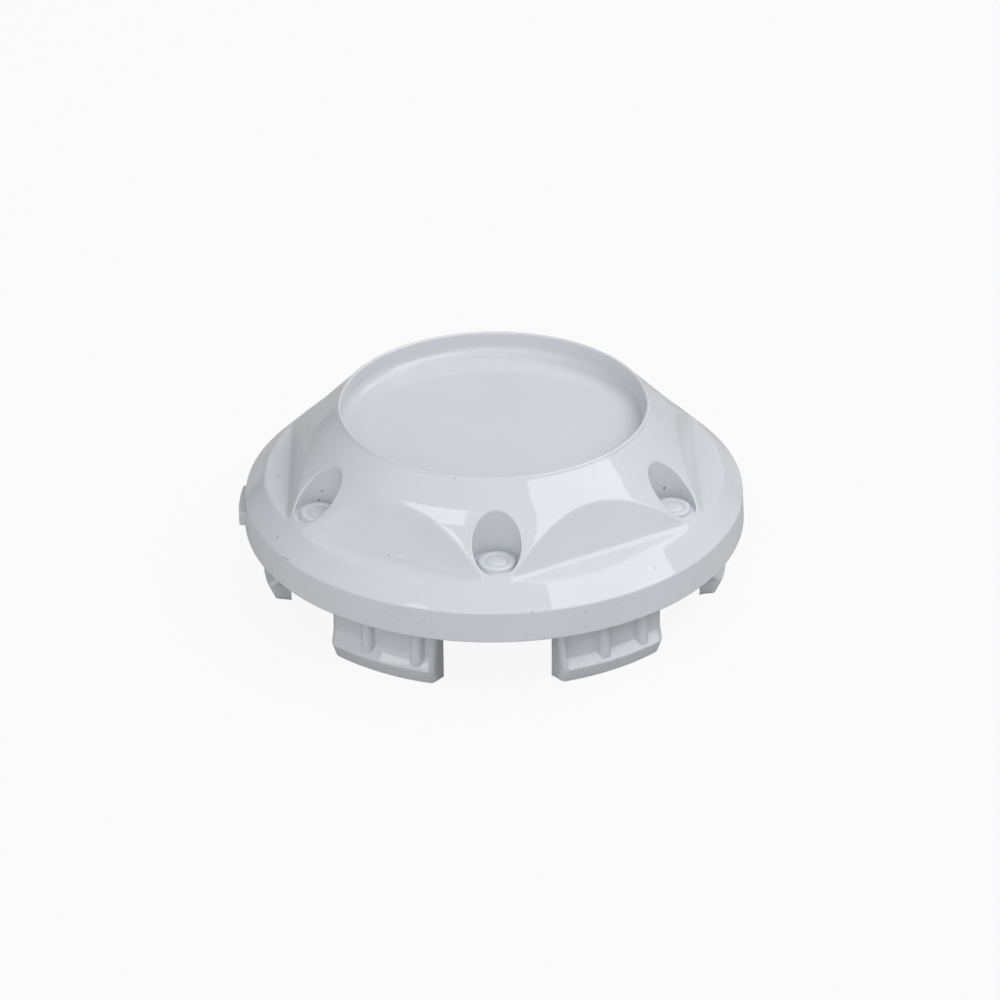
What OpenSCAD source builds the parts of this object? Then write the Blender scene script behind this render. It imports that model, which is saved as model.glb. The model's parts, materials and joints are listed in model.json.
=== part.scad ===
// Wheel center cap: one moulded shell with a shallow emblem dish on top, six petal-shaped
// cuts and six dummy-nut pockets round its flank, and six ribbed snap legs underneath.
// Heights named _h are measured up from the rim's lower edge, which seats on the wheel's face.
// The whole cap is then lifted so that it stands on its legs at z = 0.

/* [Rim] */
// Diameter of the rim at its lower edge
rim_d = 120; // [118:0.5:124]
// Height of the rim band
rim_h = 7.4; // [6.5:0.1:8.5]
// How much the rim band leans in from its lower edge to its top
rim_lean = 0.4; // [0.2:0.1:1]
// Radius on the rim's top edge
rim_edge_r = 0.8; // [0.4:0.1:1.2]
// Wall thickness of the shell
wall = 2.4; // [1.8:0.1:2.6]

/* [Crown] */
// Outside diameter of the ring round the emblem dish
ring_d = 74.2; // [70:0.5:75]
// Height of the ring's top above the rim's lower edge
ring_top_h = 30.1; // [29:0.5:33]
// Thickness of the ring's rounded lip
ring_lip = 0.9; // [0.7:0.1:1.4]
// Depth of the emblem dish below the ring's top
dish_depth = 5.5; // [3:0.1:6]
// Radius in the corner between the dish's wall and floor
dish_corner_r = 2.2; // [0.5:0.1:2.6]

/* [Pockets] */
// Distance of the pocket axes in from the rim's edge
pocket_inset = 12.3; // [11.8:0.1:12.6]
// Diameter of a pocket
pocket_d = 11.2; // [10:0.1:11.6]
// Height of the sill that a pocket's floor leaves at its outer side
pocket_sill = 0.25; // [0.15:0.05:0.8]
// Wall thickness of a pocket's cup under the shell
cup_wall = 1.8; // [1.2:0.1:2.4]

/* [Dummy nuts] */
// Diameter of a dummy nut
nut_d = 8.8; // [7.5:0.1:9.2]
// Height of a dummy nut above the pocket's floor
nut_h = 1.3; // [0.9:0.1:1.8]
// Radius on the dummy nut's top edge
nut_edge_r = 0.5; // [0.2:0.1:0.6]
// Diameter of the round land inside the dummy nut's groove
nut_land_d = 4.6; // [3.6:0.1:5]
// Width of the groove round the land
nut_groove_w = 0.6; // [0.4:0.1:0.8]
// Depth of the groove round the land
nut_groove_depth = 0.3; // [0.2:0.05:0.5]

/* [Petals] */
// Distance of a petal's crease in from the rim's edge, at its middle
crease_inset = 11.7; // [11.4:0.1:12.4]
// Depth of the crease below the flank, at its middle
petal_depth = 5.9; // [4.5:0.1:6.4]
// Slope of the petal's upper face, in degrees
petal_upper_slope = 65.5; // [63:0.5:70]
// Slope of the petal's lower face, in degrees
petal_lower_slope = 5; // [3:0.2:8]

/* [Legs] */
// Diameter of the wheel's bore that the legs snap into
bore_d = 110; // [108.5:0.5:110.5]
// How far the legs' lips stand out past the bore
lip_grip = 1; // [0.5:0.1:1.2]
// Clearance between the legs' panels and the bore
panel_gap = 1.4; // [1:0.1:2]
// Thickness of a leg's panel
leg_wall = 2.8; // [2:0.1:3]
// Width of a leg
leg_w = 27.6; // [25:0.2:31]
// How far the legs reach below the rim's lower edge
leg_drop = 15.8; // [13:0.2:20]
// Height of the lip's edge above the leg's foot
lip_h = 4.1; // [3:0.1:5]
// How far the foot is set back from the lip's edge
foot_setback = 1.8; // [1:0.1:2]
// Rise of the ledge from the lip's edge to the panel
ledge_rise = 1.3; // [0.6:0.1:1.8]
// Radius on the leg's upright outer corners
leg_corner_r = 1.2; // [0.6:0.1:1.8]
// Radius on the corners at both ends of the foot
foot_corner_r = 1.4; // [0.5:0.1:2]

/* [Leg ribs] */
// Width of a rib on a leg's panel
rib_w = 2.8; // [1.8:0.1:3]
// Place of a left leg's first rib, to the right of the leg's middle
left_rib_1_x = -3.3; // [-5:0.1:-1]
// Place of a left leg's second rib, to the right of the leg's middle
left_rib_2_x = 9.7; // [8:0.1:10.2]
// Place of a right leg's first rib, to the right of the leg's middle
right_rib_1_x = -2.5; // [-5:0.1:-1]
// Place of a right leg's second rib, to the right of the leg's middle
right_rib_2_x = 7.6; // [6:0.1:10.2]
// Setback of a rib's nose from the lip's edge
rib_setback = 0.3; // [0.1:0.1:0.6]
// Further setback of a rib's nose at the rim's lower edge
rib_lean = 0.5; // [0.1:0.1:0.8]
// Width of the end web on a leg's side that faces its neighbour
web_w = 1; // [0.6:0.1:1.8]
// How far the end web stands out from the panel at the rim's lower edge
web_top = 0.3; // [0.1:0.1:0.8]

/* [Gussets] */
// Thickness of a gusset behind a leg
gusset_t = 1.8; // [1.2:0.1:2.4]
// Distance between a leg's two gussets
gusset_spacing = 15; // [12:0.5:20]
// How far a gusset reaches in behind its leg, at its top
gusset_reach = 7; // [5:0.5:9]
// How far a gusset's lower end lies below the rim's lower edge
gusset_drop = 4; // [1:0.5:7]

/* [Locating lug] */
// Direction of the lug's middle, in degrees clockwise from the cap's front
lug_direction = 92; // [80:1:100]
// Length of the lug round the rim, in degrees
lug_arc = 13; // [8:1:18]
// Height of the lug
lug_h = 3.4; // [2:0.1:5]
// How far the lug stands out from the rim's lower edge
lug_proud = 1.4; // [0.8:0.1:2]
// Bevel on the lug's outer edges
lug_bevel = 0.4; // [0.2:0.1:0.6]

/* [Hidden] */
$fn = 96;
paint = [0.80, 0.82, 0.84];
// Number of pockets, petals and legs
count = 6;
step_angle = 360 / count;
// Reach of a cut past what it cuts
over = 1;
far = 100;

// Rim and flank
rim_r = rim_d / 2;
rim_top_r = rim_r - rim_lean;
rim_inner_r = rim_r - wall;
ring_r = ring_d / 2;
lip_round_r = ring_lip / 2;
ring_side_h = ring_top_h - lip_round_r;
flank_slope = atan2(ring_side_h - rim_h, rim_top_r - ring_r);
flank_drop = wall / cos(flank_slope);
function flank_h(r) = rim_h + (rim_top_r - r) * tan(flank_slope);

// Rounded top edge of the rim: a circle that touches both the band and the flank
band_slope = atan2(rim_h, -rim_lean);
edge_turn = (180 - flank_slope - band_slope) / 2;
edge_run = rim_edge_r * tan(edge_turn);
rim_corner = [rim_top_r, rim_h];
edge_low = rim_corner - edge_run * [cos(band_slope), sin(band_slope)];
edge_high = rim_corner + edge_run * [-cos(flank_slope), sin(flank_slope)];
edge_centre = edge_low + rim_edge_r * [-sin(band_slope), cos(band_slope)];

// Emblem dish
dish_r = ring_r - ring_lip;
dish_floor_h = ring_top_h - dish_depth;
boss_r = dish_r + wall;

// Pockets and dummy nuts
pocket_r = pocket_d / 2;
pocket_circle_r = rim_r - pocket_inset;
pocket_floor_h = flank_h(pocket_circle_r + pocket_r) - pocket_sill;
nut_r = nut_d / 2;
nut_land_r = nut_land_d / 2;

// Petal faces: the crease, and its shift for a face moved in by one millimetre
crease_at = [rim_r - crease_inset, flank_h(rim_r - crease_inset) - petal_depth];
upper_in = [-sin(petal_upper_slope), -cos(petal_upper_slope)];
lower_in = [-sin(petal_lower_slope), -cos(petal_lower_slope)];
crease_shift = (upper_in + lower_in) / (1 + upper_in * lower_in);

// Legs
bore_r = bore_d / 2;
lip_r = bore_r + lip_grip;
panel_r = bore_r - panel_gap;
leg_inner_r = panel_r - leg_wall;
foot_r = lip_r - foot_setback;
foot_h = -leg_drop;
lip_edge_h = foot_h + lip_h;
ledge_h = lip_edge_h + ledge_rise;
corner_x = leg_w / 2 - leg_corner_r;
corner_y = sqrt(pow(lip_r - leg_corner_r, 2) - corner_x * corner_x);
rib_r = rib_w / 2;
rib_base_r = panel_r - leg_wall / 2;
rib_depth = lip_r - rib_setback - rib_r - rib_base_r;
rib_tilt = atan2(rib_lean, -lip_edge_h);

// Repeats its children round the axis, from a first direction anticlockwise from the front
module around(first) {
    for (i = [0:count - 1])
        rotate([0, 0, first + i * step_angle]) children();
}

// Outside of the shell before its cuts, and its rounded rim edge and lip
module outer_form() {
    rotate_extrude() {
        polygon([
            [0, 0],
            [rim_r, 0],
            edge_low,
            edge_high,
            [ring_r, ring_side_h],
            [0, ring_side_h]
        ]);
        translate(edge_centre) circle(rim_edge_r);
        translate([ring_r - lip_round_r, ring_side_h]) circle(lip_round_r);
    }
}

// Space of the emblem dish, with a rounded corner round its floor
module dish_space() {
    translate([0, 0, dish_floor_h]) rotate_extrude() {
        square([dish_r - dish_corner_r, far]);
        translate([0, dish_corner_r]) square([dish_r, far]);
        translate([dish_r - dish_corner_r, dish_corner_r]) circle(dish_corner_r);
    }
}

// Space above a petal's two faces, each moved into the wall by a thickness
module petal_wedge(thickness) {
    crease = crease_at + thickness * crease_shift;
    rotate([90, 0, -90]) translate([0, 0, -rim_r]) linear_extrude(2 * rim_r) polygon([
        crease,
        crease + far * [cos(petal_lower_slope), -sin(petal_lower_slope)],
        crease + far * [1, 1],
        crease + far * [-cos(petal_upper_slope), sin(petal_upper_slope)]
    ]);
}

// Space of a pocket, down to its floor
module pocket_space() {
    translate([0, -pocket_circle_r, pocket_floor_h]) cylinder(r = pocket_r, h = far);
}

// Dummy nut on a pocket's floor: a disc with a rounded edge and a groove round its land
module dummy_nut() {
    translate([0, -pocket_circle_r, pocket_floor_h - over]) rotate_extrude() difference() {
        union() {
            square([nut_r - nut_edge_r, over + nut_h]);
            square([nut_r, over + nut_h - nut_edge_r]);
            translate([nut_r - nut_edge_r, over + nut_h - nut_edge_r]) circle(nut_edge_r);
        }
        translate([nut_land_r, over + nut_h - nut_groove_depth]) square([nut_groove_w, far]);
    }
}

// Outside of the shell with its dish, petals and pockets
module outer_shell() {
    difference() {
        outer_form();
        dish_space();
        around(step_angle / 2) petal_wedge(0);
        around(0) pocket_space();
    }
    around(0) dummy_nut();
}

// Hollow of the shell: every outside face, moved in by its wall
module hollow() {
    difference() {
        rotate_extrude() polygon([
            [0, -over],
            [rim_inner_r, -over],
            [rim_inner_r, flank_h(rim_inner_r) - flank_drop],
            [ring_r, flank_h(ring_r) - flank_drop],
            [0, flank_h(ring_r) - flank_drop]
        ]);
        translate([0, 0, dish_floor_h - wall]) cylinder(r = boss_r, h = far);
        around(step_angle / 2) petal_wedge(wall);
        around(0) translate([0, -pocket_circle_r, pocket_floor_h - wall])
            cylinder(r = pocket_r + cup_wall, h = far);
    }
}

// Plan of a leg: square at the back, with rounded upright corners at the front
module leg_plan() {
    translate([-leg_w / 2, -corner_y]) square([leg_w, corner_y]);
    translate([-corner_x, -far]) square([2 * corner_x, far]);
    for (side = [-1, 1])
        translate([side * corner_x, -corner_y]) circle(leg_corner_r);
}

// Outline of a leg seen from its front, with rounded corners at the foot
module leg_front() {
    translate([-leg_w / 2, foot_corner_r]) square([leg_w, far]);
    translate([foot_corner_r - leg_w / 2, 0]) square([leg_w - 2 * foot_corner_r, far]);
    for (side = [-1, 1])
        translate([side * (leg_w / 2 - foot_corner_r), foot_corner_r]) circle(foot_corner_r);
}

// A leg's width and rounded corners, as a block that its round form is cut from
module leg_block() {
    intersection() {
        translate([0, 0, foot_h]) linear_extrude(2 * far) leg_plan();
        translate([0, 0, foot_h]) rotate([90, 0, 0]) linear_extrude(far) leg_front();
    }
}

// One rib in front of a leg's panel, with a round nose that leans back towards the rim
module rib(x) {
    nose_r = sqrt(lip_r * lip_r - x * x) - rib_setback - rib_r;
    translate([x, -nose_r, lip_edge_h]) rotate([-rib_tilt, 0, 0]) linear_extrude(far) {
        circle(rib_r);
        translate([-rib_r, 0]) square([rib_w, rib_depth]);
    }
}

// One leg at the front: panel, ledge and tapered lip, with ribs, an end web and gussets
module leg(places, web_side) {
    intersection() {
        rotate_extrude() polygon([
            [leg_inner_r, foot_h],
            [foot_r, foot_h],
            [lip_r, lip_edge_h],
            [panel_r, ledge_h],
            [panel_r, far],
            [leg_inner_r, far]
        ]);
        leg_block();
    }
    intersection() {
        rotate_extrude() polygon([
            [leg_inner_r, lip_edge_h],
            [lip_r, lip_edge_h],
            [panel_r + web_top, 0],
            [panel_r + web_top, far],
            [leg_inner_r, far]
        ]);
        leg_block();
        translate([web_side * (leg_w - web_w) / 2 - web_w / 2, -far, foot_h]) cube([web_w, far, 2 * far]);
    }
    for (x = places) rib(x);
    for (side = [-1, 1])
        translate([side * gusset_spacing / 2, 0, 0]) gusset();
}

// Gusset behind a leg: a web that widens upwards from the leg to the shell
module gusset() {
    rotate([90, 0, 90]) translate([0, 0, -gusset_t / 2]) linear_extrude(gusset_t) polygon([
        [-rib_base_r, -gusset_drop],
        [-leg_inner_r, -gusset_drop],
        [gusset_reach - leg_inner_r, rim_h],
        [gusset_reach - leg_inner_r, far],
        [-rib_base_r, far]
    ]);
}

// All legs, in pairs left and right of every second pocket
module all_legs() {
    for (i = [0:2:count - 1])
        rotate([0, 0, i * step_angle]) {
            rotate([0, 0, -step_angle / 2]) leg([left_rib_1_x, left_rib_2_x], 1);
            rotate([0, 0, step_angle / 2]) leg([right_rib_1_x, right_rib_2_x], -1);
        }
}

// All legs, cut off level with the rim's lower edge above or below
module legs(above) {
    intersection() {
        all_legs();
        translate([0, 0, above ? 0 : -far]) cylinder(r = far, h = far);
    }
}

// Lug on the rim's lower edge, with a bevel round its outer edges
module locating_lug() {
    rotate([0, 0, -lug_direction - lug_arc / 2 - 90]) rotate_extrude(angle = lug_arc) polygon([
        [rim_r - wall / 2, 0],
        [rim_r + lug_proud - lug_bevel, 0],
        [rim_r + lug_proud, lug_bevel],
        [rim_r + lug_proud, lug_h - lug_bevel],
        [rim_r + lug_proud - lug_bevel, lug_h],
        [rim_r - wall / 2, lug_h]
    ]);
}

// The whole cap as one moulding
module center_cap() {
    color(paint) translate([0, 0, leg_drop]) {
        difference() {
            outer_shell();
            difference() {
                hollow();
                legs(true);
            }
        }
        legs(false);
        locating_lug();
    }
}

center_cap();
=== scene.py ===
"""Dresses the wheel center cap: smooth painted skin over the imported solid, light and camera."""
import json
import math
from itertools import groupby

import bmesh
import bpy
from mathutils import Matrix, Vector
from mathutils.geometry import delaunay_2d_cdt
from mathutils.kdtree import KDTree

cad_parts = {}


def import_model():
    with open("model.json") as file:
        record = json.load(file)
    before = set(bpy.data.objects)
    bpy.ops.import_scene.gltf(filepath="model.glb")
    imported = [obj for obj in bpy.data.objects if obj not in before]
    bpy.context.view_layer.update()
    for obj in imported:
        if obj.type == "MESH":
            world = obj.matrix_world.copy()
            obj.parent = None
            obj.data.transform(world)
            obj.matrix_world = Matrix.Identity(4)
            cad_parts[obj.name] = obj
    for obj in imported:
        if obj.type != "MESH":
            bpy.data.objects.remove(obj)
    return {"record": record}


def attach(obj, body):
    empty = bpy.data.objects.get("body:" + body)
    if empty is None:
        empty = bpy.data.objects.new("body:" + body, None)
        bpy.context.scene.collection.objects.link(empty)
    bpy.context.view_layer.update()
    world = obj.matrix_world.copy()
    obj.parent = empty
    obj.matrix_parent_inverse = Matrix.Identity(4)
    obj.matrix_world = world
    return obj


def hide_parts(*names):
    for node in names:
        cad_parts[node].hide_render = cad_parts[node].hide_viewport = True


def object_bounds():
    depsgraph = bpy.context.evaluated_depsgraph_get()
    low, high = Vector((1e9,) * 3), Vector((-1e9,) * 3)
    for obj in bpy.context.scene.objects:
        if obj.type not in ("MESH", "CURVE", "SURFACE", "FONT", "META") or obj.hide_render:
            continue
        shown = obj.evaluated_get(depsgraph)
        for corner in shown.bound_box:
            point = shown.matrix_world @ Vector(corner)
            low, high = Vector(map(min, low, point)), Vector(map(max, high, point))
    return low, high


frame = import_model()
CAD_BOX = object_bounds()
MM = 0.001

# Lengths are in millimetres and heights are measured up from the rim's lower edge.
MOUNTS = {mount["name"]: mount for mount in frame["record"]["mounts"]}
LIFT = MOUNTS["rim_seat"]["pos_m"][2] / MM
DISH_FLOOR = MOUNTS["emblem_seat"]["pos_m"][2] / MM - LIFT
RING_TOP = CAD_BOX[1][2] / MM - LIFT
RIM_R = CAD_BOX[1][0] / MM

# Repeats round the axis, and the direction of the photograph's front, along -Y
COUNT = 6
STEP = 2 * math.pi / COUNT
HALF = STEP / 2
FRONT = -math.pi / 2

# Rim, wall and ring round the dish
WALL = 2.4
RIM_H = 7.4
RIM_TOP_R = RIM_R - 0.4
RIM_EDGE_R = 0.8
RIM_INNER_R = RIM_R - WALL
FOOT_EDGE = 0.25
FOOT_INSET = 0.02
INNER_EDGE = 0.3
RING_R = 37.1
LIP_ROUND = 0.45
DISH_R = RING_R - 2 * LIP_ROUND
DISH_CORNER = 2.2
BOSS_R = DISH_R + WALL
FLANK_TURN = math.atan2(RING_TOP - LIP_ROUND - RIM_H, RIM_TOP_R - RING_R)

# Petal cuts: two planes that meet in a straight crease
CREASE_R = RIM_R - 11.7
PETAL_DEPTH = 5.9
UPPER_TURN = math.radians(65.5)
LOWER_TURN = math.radians(5)
EDGE_SOFT = 0.45
CREASE_SOFT = 1.6

# Pockets and dummy nuts
POCKET_AT = RIM_R - 12.3
POCKET_R = 5.6
POCKET_SILL = 0.25
POCKET_ROLL = 0.45
POCKET_CORNER = 0.5
POCKET_CENTRE = Vector((POCKET_AT * math.cos(HALF), POCKET_AT * math.sin(HALF)))
CUP_R = POCKET_R + 1.8
CUP_RADII = (CUP_R, 6.5, 5.5, 4.5, 3.5, 2.5, 1.2)
NUT_R = 4.4
NUT_H = 1.3
NUT_EDGE = 0.55
NUT_FOOT = 0.3
NUT_LAND_R = 2.3
GROOVE_W = 0.6
GROOVE_DEPTH = 0.3

# Legs
LEG_W = 27.6
LEG_INNER_R = 50.8
PANEL_R = 53.6
LIP_R = 56.0
FOOT_R = 54.2
LIP_EDGE_H = 4.1 - LIFT
LEDGE_TURN = math.radians(44.5)
LEDGE_H = LIP_EDGE_H + (LIP_R - PANEL_R) / math.tan(LEDGE_TURN)
LIP_SOFT = 0.3
LEDGE_SOFT = 0.6
LEG_TOP = 10.2
DRAFT = 5.0
RIB_R = 1.4
RIB_SETBACK = 0.3
RIB_LEAN = 0.5
RIB_SPREAD = 0.2
RIB_SOFT = 0.25
LEFT_RIBS = (-3.5, 9.3)
RIGHT_RIBS = (-2.7, 7.8)
WEB_W = 1.0
WEB_TOP = 0.3
WEB_SOFT = 0.2
LEG_CORNER = 1.6
FOOT_CORNER = 1.4
FOOT_ROUND = 0.32
INNER_CORNER = 0.4
FLARE = 1.0
FLARE_REACH = 4.0
GUSSET_T = 1.8
GUSSET_X = 7.5
GUSSET_REACH = 7.0
GUSSET_DROP = 4.0
# A gusset's front edge inside its leg, and its top sunk into the shell's wall
GUSSET_FRONT_R = 52.2
GUSSET_TOP = [(LEG_INNER_R - GUSSET_REACH, 17.0), (46.4, 11.8), (GUSSET_FRONT_R, 11.0)]

# Locating lug, its turn measured from the front
LUG_TURN = math.radians(-92)
LUG_ARC = math.radians(13)
LUG_H = 3.4
LUG_PROUD = 1.39
LUG_BEVEL = 0.4
LUG_ROOT_H = 0.5

# Fineness of the skin
FLANK_GAP = 1.25
HIDDEN_GAP = 2.2
CURVE_MARGIN = 0.12
BORDER_MARGIN = 0.3
BLEND_SHARES = (-1.6, -1, -0.6, -0.25, 0.1, 0.45, 0.8, 1.1, 1.7)
RING_STEPS = 22
RIM_STEPS = 30
POCKET_STEPS = 30
LEG_STEPS = 24
PANEL_STEPS = 12
LUG_STEPS = 14
LEDGE_STEPS = (-0.6, -0.25, -0.1, 0, 0.1, 0.25, 0.6, 1.0, 1.4, 1.8, 2.1, 2.4, 2.7)
SAME_POINT = 0.002
SEAM = 0.003
SHARP_TURN = math.radians(38)

# Paint: colours, roughness, and sizes and depths of its unevenness
PAINT_COLOR = (0.628, 0.649, 0.681)
PAINT_TONES = (0.985, 1.015)
GRIME_COLOR = (0.16, 0.16, 0.18)
# Light colour of the painted highlights on the left petal's crease and edges
PAINTED_HIGHLIGHT_COLOR = (0.80, 0.80, 0.81)
PAINT_IOR = 1.5
ROUGHNESS = 0.02
GRAIN_ROUGHNESS = 0.02
SPECK_ROUGHNESS = 0.3
GRIME_ROUGHNESS = 0.5
PAINTED_HIGHLIGHT_ROUGHNESS = 0.3
CLOUD_SIZE = 18
GRAIN_SIZE = 0.5
SPECK_SIZE = 0.55
SPECK_DEPTH = 0.4
SMEAR_SIZE = 1.3
PATCH_SIZE = 16
SMEAR_DEPTH = 0.12
BLOTCH_DEPTH = 0.6
PEEL_SIZE = 1.1
PEEL_DEPTH = 0.0012
WAVE_SIZE = 8
DISH_WAVE = 0.012
FLANK_WAVE = 0.03
POLISH_START = 38.1
POLISH_END = 41.8
POLISH_DEPTH = 0.03
POLISH_PER_RADIAN = 6.0

# Slopes of the flank where the moulding shrank, beside the pockets and along the arches
SINK_START = 42.3
SINK_END = 45.0
SINK_SLOPE = 0.04
ARCH_SINK_W = 1.3
ARCH_SINK_SLOPE = 0.035

# Marks on the paint. Specks and blotches are round: a place, a radius and a strength.
# Scuffs and painted highlights are strokes: two places, half a width and a strength.
SPECKS = [
    ((-51.0, -26.9, 9.3), 0.32, 0.9), ((-51.7, -3.1, 12.4), 0.3, 0.9),
    ((-40.6, -18.3, 16.8), 0.34, 0.7), ((-41.4, -18.3, 14.3), 0.32, 0.9),
    ((39.8, -18.5, 16.5), 0.42, 1.0), ((43.7, -18.8, 16.1), 0.3, 0.5),
    ((-24.7, -41.8, 12.7), 0.28, 0.8), ((18.1, -45.4, 12.8), 0.25, 0.5),
    ((-33.7, -45.1, 10.7), 0.25, 0.4), ((7.8, -59.0, 7.5), 0.25, 0.8),
    ((36.4, -44.0, 9.8), 0.25, 0.6), ((5.5, 12.3, 25.1), 0.25, 0.6),
    ((-9.3, -36.0, 29.7), 0.22, 0.7)]
SCUFFS = [
    ((-49.8, -32.6, 7.4), (-48.1, -34.6, 7.7), 0.22, 0.5),
    ((10.9, -6.5, 25.1), (12.3, -7.0, 25.1), 0.3, 0.13),
    ((13.1, -11.4, 25.1), (15.5, -11.0, 25.1), 0.22, 0.13),
    ((7.8, -18.6, 25.1), (9.7, -17.7, 25.1), 0.3, 0.12)]
# Painted highlights: lighter, rougher strokes on the left petal's crease and edges, where highlights
# fall
PAINTED_HIGHLIGHTS = [
    ((-35.3, -32.1, 18.9), (-29.5, -36.0, 17.9), 0.16, 0.35),
    ((-20.3, -51.5, 11.6), (-16.4, -52.9, 11.6), 0.2, 0.3),
    ((-40.3, -32.5, 12.8), (-38.9, -33.1, 13.1), 0.25, 0.6),
    ((-22.6, -42.4, 13.2), (-20.8, -43.6, 13.1), 0.28, 0.6)]
BLOTCHES = [
    ((27.3, -53.1, 5.7), 1.3, 0.5), ((30.4, -51.4, 5.0), 1.5, 0.5),
    ((33.4, -49.5, 5.1), 1.8, 0.6), ((16.3, -57.6, 2.8), 1.4, 0.35),
    ((20.1, -56.2, 5.6), 0.9, 0.4), ((6.6, -59.5, 2.5), 1.2, 0.35),
    ((-2.0, -59.8, 2.6), 1.2, 0.25), ((-18.2, -57.0, 3.5), 1.3, 0.35),
    ((-15.2, -57.8, 3.7), 1.3, 0.35)]

# Light, fitted to the photograph. Directions are in degrees, see toward.
# A sky glow has a direction, a tightness and a strength.
SKY_GLOWS = [((0, 30), 12, 1.8), ((-52, 18), 3, 1.13), ((135, 40), 3, 0.57), ((0, 90), 3, 0.28)]
# A lamp has the directions of its two ends, a height as a share of its gap, a glow and
# that gap: its distance in metres from the place that all lamps are aimed at.
LAMPS = {
    "right_box": ((31.5, 56.5), (94.7, 36), 0.7, 2.75, 1.0),
    "left_strip": ((-67.3, 44.7), (-16.4, 54.0), 0.055, 3.4, 3.0),
    "back_box": ((178, 47), (120, 47), 0.45, 1.5, 1.0)}
LAMPS_AIM_H = 0.035
# The floor reaches this many metres to each side, and is this share of white to the camera.
FLOOR_REACH = 4.0
FLOOR_GLOW = 0.92

# Camera, fitted to the photograph: its direction in degrees, gap in metres and lens
CAMERA_TURN = -0.55
CAMERA_LIFT = 29.70
CAMERA_ROLL = math.radians(-0.46)
CAMERA_GAP = 0.93876
CAMERA_LENS = 140.27
CAMERA_SENSOR = 36
CAMERA_SHIFT = (0.0056, 0.0123)


class Patch:
    """Points and faces of one piece, in millimetres, collected row by row."""

    def __init__(self):
        self.points = []
        self.faces = []

    def row(self, points):
        """Adds points and gives their numbers."""
        start = len(self.points)
        self.points.extend(points)
        return list(range(start, len(self.points)))

    def strip(self, rows, closed=False):
        """Joins rows of equally many points with four-sided faces."""
        indexed = [self.row(row) for row in rows]
        for low, high in zip(indexed, indexed[1:]):
            last = len(low) if closed else len(low) - 1
            for i in range(last):
                j = (i + 1) % len(low)
                self.faces.append((low[i], low[j], high[j], high[i]))
        return indexed

    def fan(self, centre, row):
        """Closes a row with triangles to one point."""
        middle = self.row([centre])[0]
        self.faces.extend((middle, a, b) for a, b in zip(row, row[1:]))

    def add(self, points, faces):
        """Adds points and the faces between them."""
        numbers = self.row(points)
        self.faces.extend(tuple(numbers[i] for i in face) for face in faces)

    def mirror(self):
        """Adds the mirror image across the plane y = 0."""
        self.add([(x, -y, z) for x, y, z in self.points], [face[::-1] for face in self.faces])

    def mesh(self, name):
        """A mesh in the frame's metres, with points that meet made one."""
        mesh = bpy.data.meshes.new(name)
        shape = bmesh.new()
        verts = [shape.verts.new((x * MM, y * MM, (z + LIFT) * MM)) for x, y, z in self.points]
        for face in self.faces:
            shape.faces.new([verts[i] for i in face])
        bmesh.ops.remove_doubles(shape, verts=shape.verts, dist=SAME_POINT * MM)
        bmesh.ops.dissolve_degenerate(shape, edges=shape.edges, dist=SAME_POINT / 2 * MM)
        shape.to_mesh(mesh)
        shape.free()
        return mesh


def arc(centre, radius, start, end, steps):
    """Points on a circle from one angle to another, both included."""
    return [(centre[0] + radius * math.cos(t), centre[1] + radius * math.sin(t))
            for t in spread(start, end, steps)]


def spread(low, high, steps):
    """Evenly spaced values from one to another, both included."""
    return [low + (high - low) * i / steps for i in range(steps + 1)]


def soft_max(a, b, width):
    """The higher of two heights, blended where they lie within a width of each other."""
    overlap = max(width - abs(a - b), 0) / width
    return max(a, b) + overlap * overlap * width / 4


def soft_min(a, b, width):
    """The lower of two heights, blended in the same way."""
    return -soft_max(-a, -b, width)


class Skin:
    """Flank and petal faces, moved in by a depth, as straight lines of height over radius."""

    def __init__(self, depth):
        self.slope = math.tan(FLANK_TURN)
        self.upper_slope = math.tan(UPPER_TURN)
        self.lower_slope = math.tan(LOWER_TURN)
        crease_h = RIM_H + (RIM_TOP_R - CREASE_R) * self.slope - PETAL_DEPTH
        self.flank_0 = RIM_H + RIM_TOP_R * self.slope - depth / math.cos(FLANK_TURN)
        self.upper_0 = crease_h + CREASE_R * self.upper_slope - depth / math.cos(UPPER_TURN)
        self.lower_0 = crease_h + CREASE_R * self.lower_slope - depth / math.cos(LOWER_TURN)

    def flank(self, r):
        """Height of the flank's cone at a radius."""
        return self.flank_0 - r * self.slope

    def height(self, x, y):
        """Height at a point of the half sector, where x runs along the petal's middle."""
        upper = self.upper_0 - x * self.upper_slope
        lower = self.lower_0 - x * self.lower_slope
        petal = soft_max(upper, lower, CREASE_SOFT)
        return soft_min(self.flank(math.hypot(x, y)), petal, EDGE_SOFT)

    def arch(self, turn, offset):
        """Radius at which the upper face lies an offset above the flank."""
        fall = self.upper_slope * math.cos(turn) - self.slope
        return (self.upper_0 - self.flank_0 - offset) / fall

    def foot(self, turn, offset):
        """Radius at which the lower face lies an offset above the flank."""
        fall = self.slope - self.lower_slope * math.cos(turn)
        return (self.flank_0 - self.lower_0 + offset) / fall

    def crease(self, turn, offset):
        """Radius at which the upper face lies an offset above the lower face."""
        fall = self.upper_slope - self.lower_slope
        return (self.upper_0 - self.lower_0 - offset) / fall / math.cos(turn)

    def tip(self):
        """Turn at which arch and crease meet in the petal's tip, found by halving."""
        low, high = 0.0, HALF
        for _ in range(40):
            middle = (low + high) / 2
            if self.arch(middle, 0) < self.crease(middle, 0):
                low = middle
            else:
                high = middle
        return low


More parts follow.
